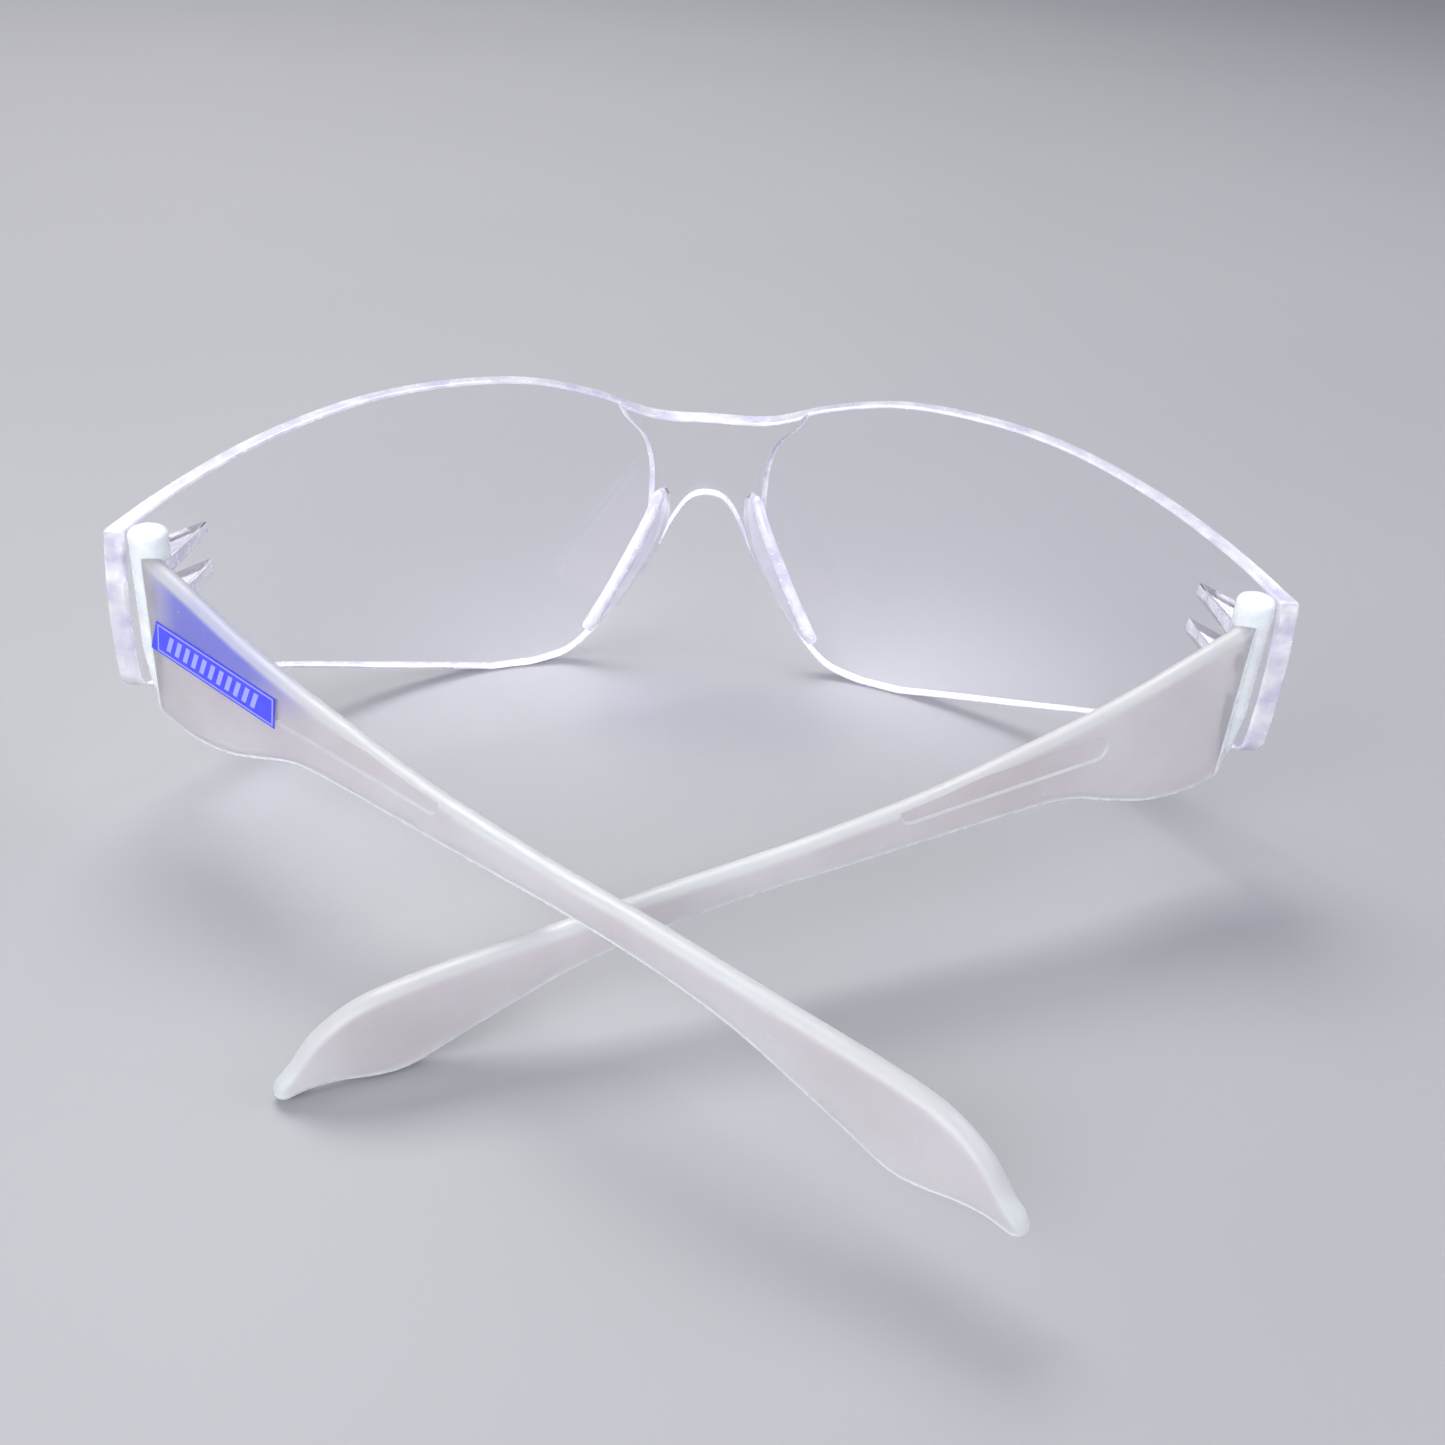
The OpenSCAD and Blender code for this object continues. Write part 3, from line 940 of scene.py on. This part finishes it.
def bar_share(node, link, axes):
    """1 on a row of slanted bars along the middle of the print, 0 elsewhere."""
    lean = calculated(node, link, "MULTIPLY", axes.outputs["Y"], BAR_LEAN)
    along = calculated(node, link, "MULTIPLY", axes.outputs["X"], BAR_COUNT)
    count = calculated(node, link, "SUBTRACT", along, lean)
    bars = calculated(node, link, "LESS_THAN", calculated(node, link, "FRACT", count), 0.5)
    out_y = distance_from(node, link, 0.5, axes.outputs["Y"])
    tall = calculated(node, link, "LESS_THAN", out_y, BAR_HALF_H)
    wide = calculated(node, link, "LESS_THAN", distance_from(node, link, BAR_MIDDLE, count), BAR_HALF_ROW)
    return calculated(node, link, "MULTIPLY", bars, calculated(node, link, "MULTIPLY", tall, wide))


def pin_material():
    """Satin white nylon."""
    material, node, link, shader, output = new_material("satin_nylon")
    colour = mixed(node, link, sized_noise(node, link, 1.2, 3), (0.80, 0.80, 0.84, 1), (0.92, 0.92, 0.95, 1))
    link(colour, shader.inputs["Base Color"])
    link(ranged(node, link, sized_noise(node, link, 0.3, 2), 0.3, 0.7, 0.3, 0.5), shader.inputs["Roughness"])
    shader.inputs["Subsurface Weight"].default_value = 0.2
    shader.inputs["Subsurface Scale"].default_value = 0.4 * MM
    bumped(node, link, shader, sized_noise(node, link, 0.2, 2), 0.01, 0.4)
    return material


def floor_material():
    """A plain matt surface."""
    material, node, link, shader, output = new_material("pale_floor")
    colour = mixed(node, link, sized_noise(node, link, 120, 2), (0.34, 0.34, 0.36, 1), (0.37, 0.37, 0.39, 1))
    link(colour, shader.inputs["Base Color"])
    shader.inputs["Roughness"].default_value = 0.55
    return material


# ---------------------------------------------------------------- the shot

def aim_camera():
    """The camera stands behind and above the glasses, on the wearer's side."""
    place = Vector((-2.98, -152.19, 119.64))
    yaw, pitch, roll = 0.036, 0.562, 0.078
    level = Vector((math.cos(yaw), -math.sin(yaw), 0))
    ahead = Vector((math.sin(yaw) * math.cos(pitch), math.cos(yaw) * math.cos(pitch), -math.sin(pitch)))
    above = level.cross(ahead)
    right = level * math.cos(roll) + above * math.sin(roll)
    up = above * math.cos(roll) - level * math.sin(roll)
    data = bpy.data.cameras.new("camera")
    data.sensor_width = 36
    data.lens = 40.375
    data.clip_start = 0.01
    data.clip_end = 20
    camera = bpy.data.objects.new("camera", data)
    camera.matrix_world = Matrix.Translation(place * MM) @ Matrix((right, up, -ahead)).transposed().to_4x4()
    bpy.context.scene.collection.objects.link(camera)
    bpy.context.scene.camera = camera


def add_floor():
    """A wide plain floor, a hair below the glasses."""
    wide, hair = 8.0, 0.0001
    bpy.ops.mesh.primitive_plane_add(size=wide, location=(0, 0, -hair))
    floor = bpy.context.object
    floor.name = "floor"
    floor.data.materials.append(floor_material())


def add_light(name, place, size, power, colour):
    """A rectangular lamp that points at the glasses. Places and sizes are in metres."""
    data = bpy.data.lights.new(name, "AREA")
    data.shape = "RECTANGLE"
    data.size, data.size_y = size
    data.energy = power
    data.color = colour
    light = bpy.data.objects.new(name, data)
    light.location = place
    light.rotation_euler = (Vector((0, 0, 0.02)) - Vector(place)).to_track_quat("-Z", "Y").to_euler()
    bpy.context.scene.collection.objects.link(light)


def add_lights():
    """A soft sky, a key lamp behind the glasses, a wide one near the camera and a weak one at the side."""
    world = bpy.data.worlds.new("soft_world")
    world.use_nodes = True
    background = world.node_tree.nodes["Background"]
    background.inputs["Color"].default_value = (0.80, 0.84, 0.95, 1)
    background.inputs["Strength"].default_value = 0.35
    bpy.context.scene.world = world
    add_light("key", (-0.25, 0.50, 0.75), (0.6, 0.4), 6.5, (1.0, 0.98, 0.96))
    add_light("front", (-0.30, -0.70, 0.50), (0.8, 0.6), 8.5, (0.96, 0.97, 1.0))
    add_light("side", (0.65, 0.10, 0.45), (0.5, 0.4), 2, (0.95, 0.94, 1.0))
    bpy.context.scene.view_settings.view_transform = "Standard"


# ---------------------------------------------------------------- the glasses

aim_camera()
add_floor()
add_lights()

lens_piece = lens([clear_material(), painted_glow_edge_material(), milky_material()])
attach(lens_piece, "front")
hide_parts("lens")

arms = (
    ("right", 1, RIGHT_FOLD, RIGHT_DROOP, None),
    ("left", -1, LEFT_FOLD, 0.0, LEFT_FOLD),
)
painted_glow_frosted = painted_glow_frosted_material()
for word, side, fold, droop, halo in arms:
    facing = (side * math.cos(fold), -math.sin(fold), 0)
    material = frosted_material(f"frosted_{word}_arm", facing, halo)
    arm = temple(f"{word}_arm_blade", side, fold, droop, [material, painted_glow_frosted])
    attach(arm, f"{word}_arm")
    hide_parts(f"{word}_temple")

band = print_band([print_material()])
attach(band, "left_arm")
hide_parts("left_print_band")

nylon = pin_material()
for pin in ("left_hinge_pin", "right_hinge_pin"):
    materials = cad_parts[pin].data.materials
    materials.clear()
    materials.append(nylon)
